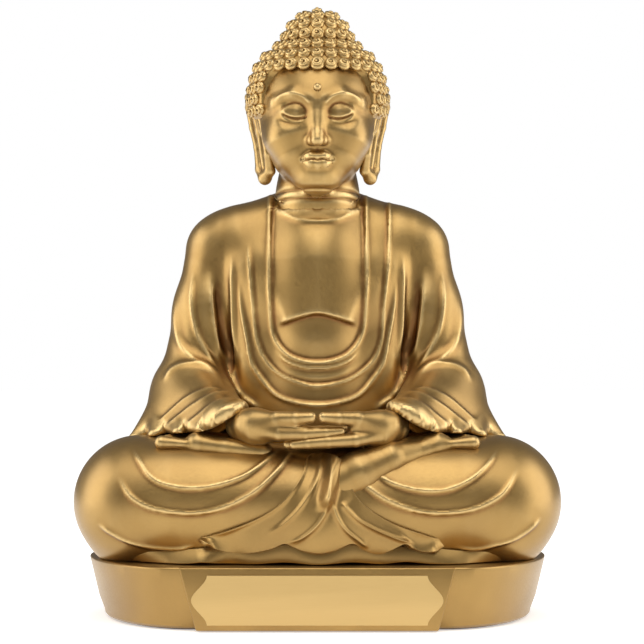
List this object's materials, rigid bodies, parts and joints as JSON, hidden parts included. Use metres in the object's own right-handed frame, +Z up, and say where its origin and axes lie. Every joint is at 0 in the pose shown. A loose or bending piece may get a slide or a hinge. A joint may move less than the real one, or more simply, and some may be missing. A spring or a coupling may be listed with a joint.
{
  "type": "seated buddha statue",
  "caption": "Gold seated figure in meditation pose on an oval plinth with a blank nameplate, a hollow resin cast statue built from separate castings",
  "frame": {"origin": "on the ground under the middle of the statue's box, so the felt pad's underside is z = 0", "axes": "+Z up; -Y is the way the figure faces, so +Y is its back; +X is the figure's own left side"},
  "size_m": [0.2322, 0.1518, 0.3],
  "materials": {
    "gold_casting": "satin metallic gold paint on cast resin",
    "nameplate_brass": "satin",
    "steel": "zinc plated",
    "turned_brass": "turned",
    "felt": "pressed felt",
    "board": "raw hardboard",
    "tape": "adhesive foam"
  },
  "bodies": {
    "root": {"felt_pad": "felt", "base_plate": "board", "base_screws": "steel", "plinth": "gold_casting", "nameplate_tape": "tape", "nameplate": "nameplate_brass", "figure_washers": "steel", "figure_bolts": "steel", "lap_inserts": "turned_brass", "lap": "gold_casting", "robe_apron": "gold_casting", "under_hem": "gold_casting", "right_foot": "gold_casting", "left_foot": "gold_casting", "foot_dowels": "steel", "waist_rod": "steel", "waist_nut": "steel", "torso": "gold_casting", "sleeve_dowels": "steel", "right_sleeve": "gold_casting", "left_sleeve": "gold_casting", "hand_dowels": "steel", "right_hand": "gold_casting", "left_hand": "gold_casting", "neck_dowel": "steel", "head": "gold_casting", "right_ear": "gold_casting", "left_ear": "gold_casting", "urna": "gold_casting", "hair_cap": "gold_casting", "knot_dowel": "steel", "ushnisha": "gold_casting", "hair_curls": "gold_casting", "ushnisha_curls": "gold_casting"}
  },
  "joints": []
}
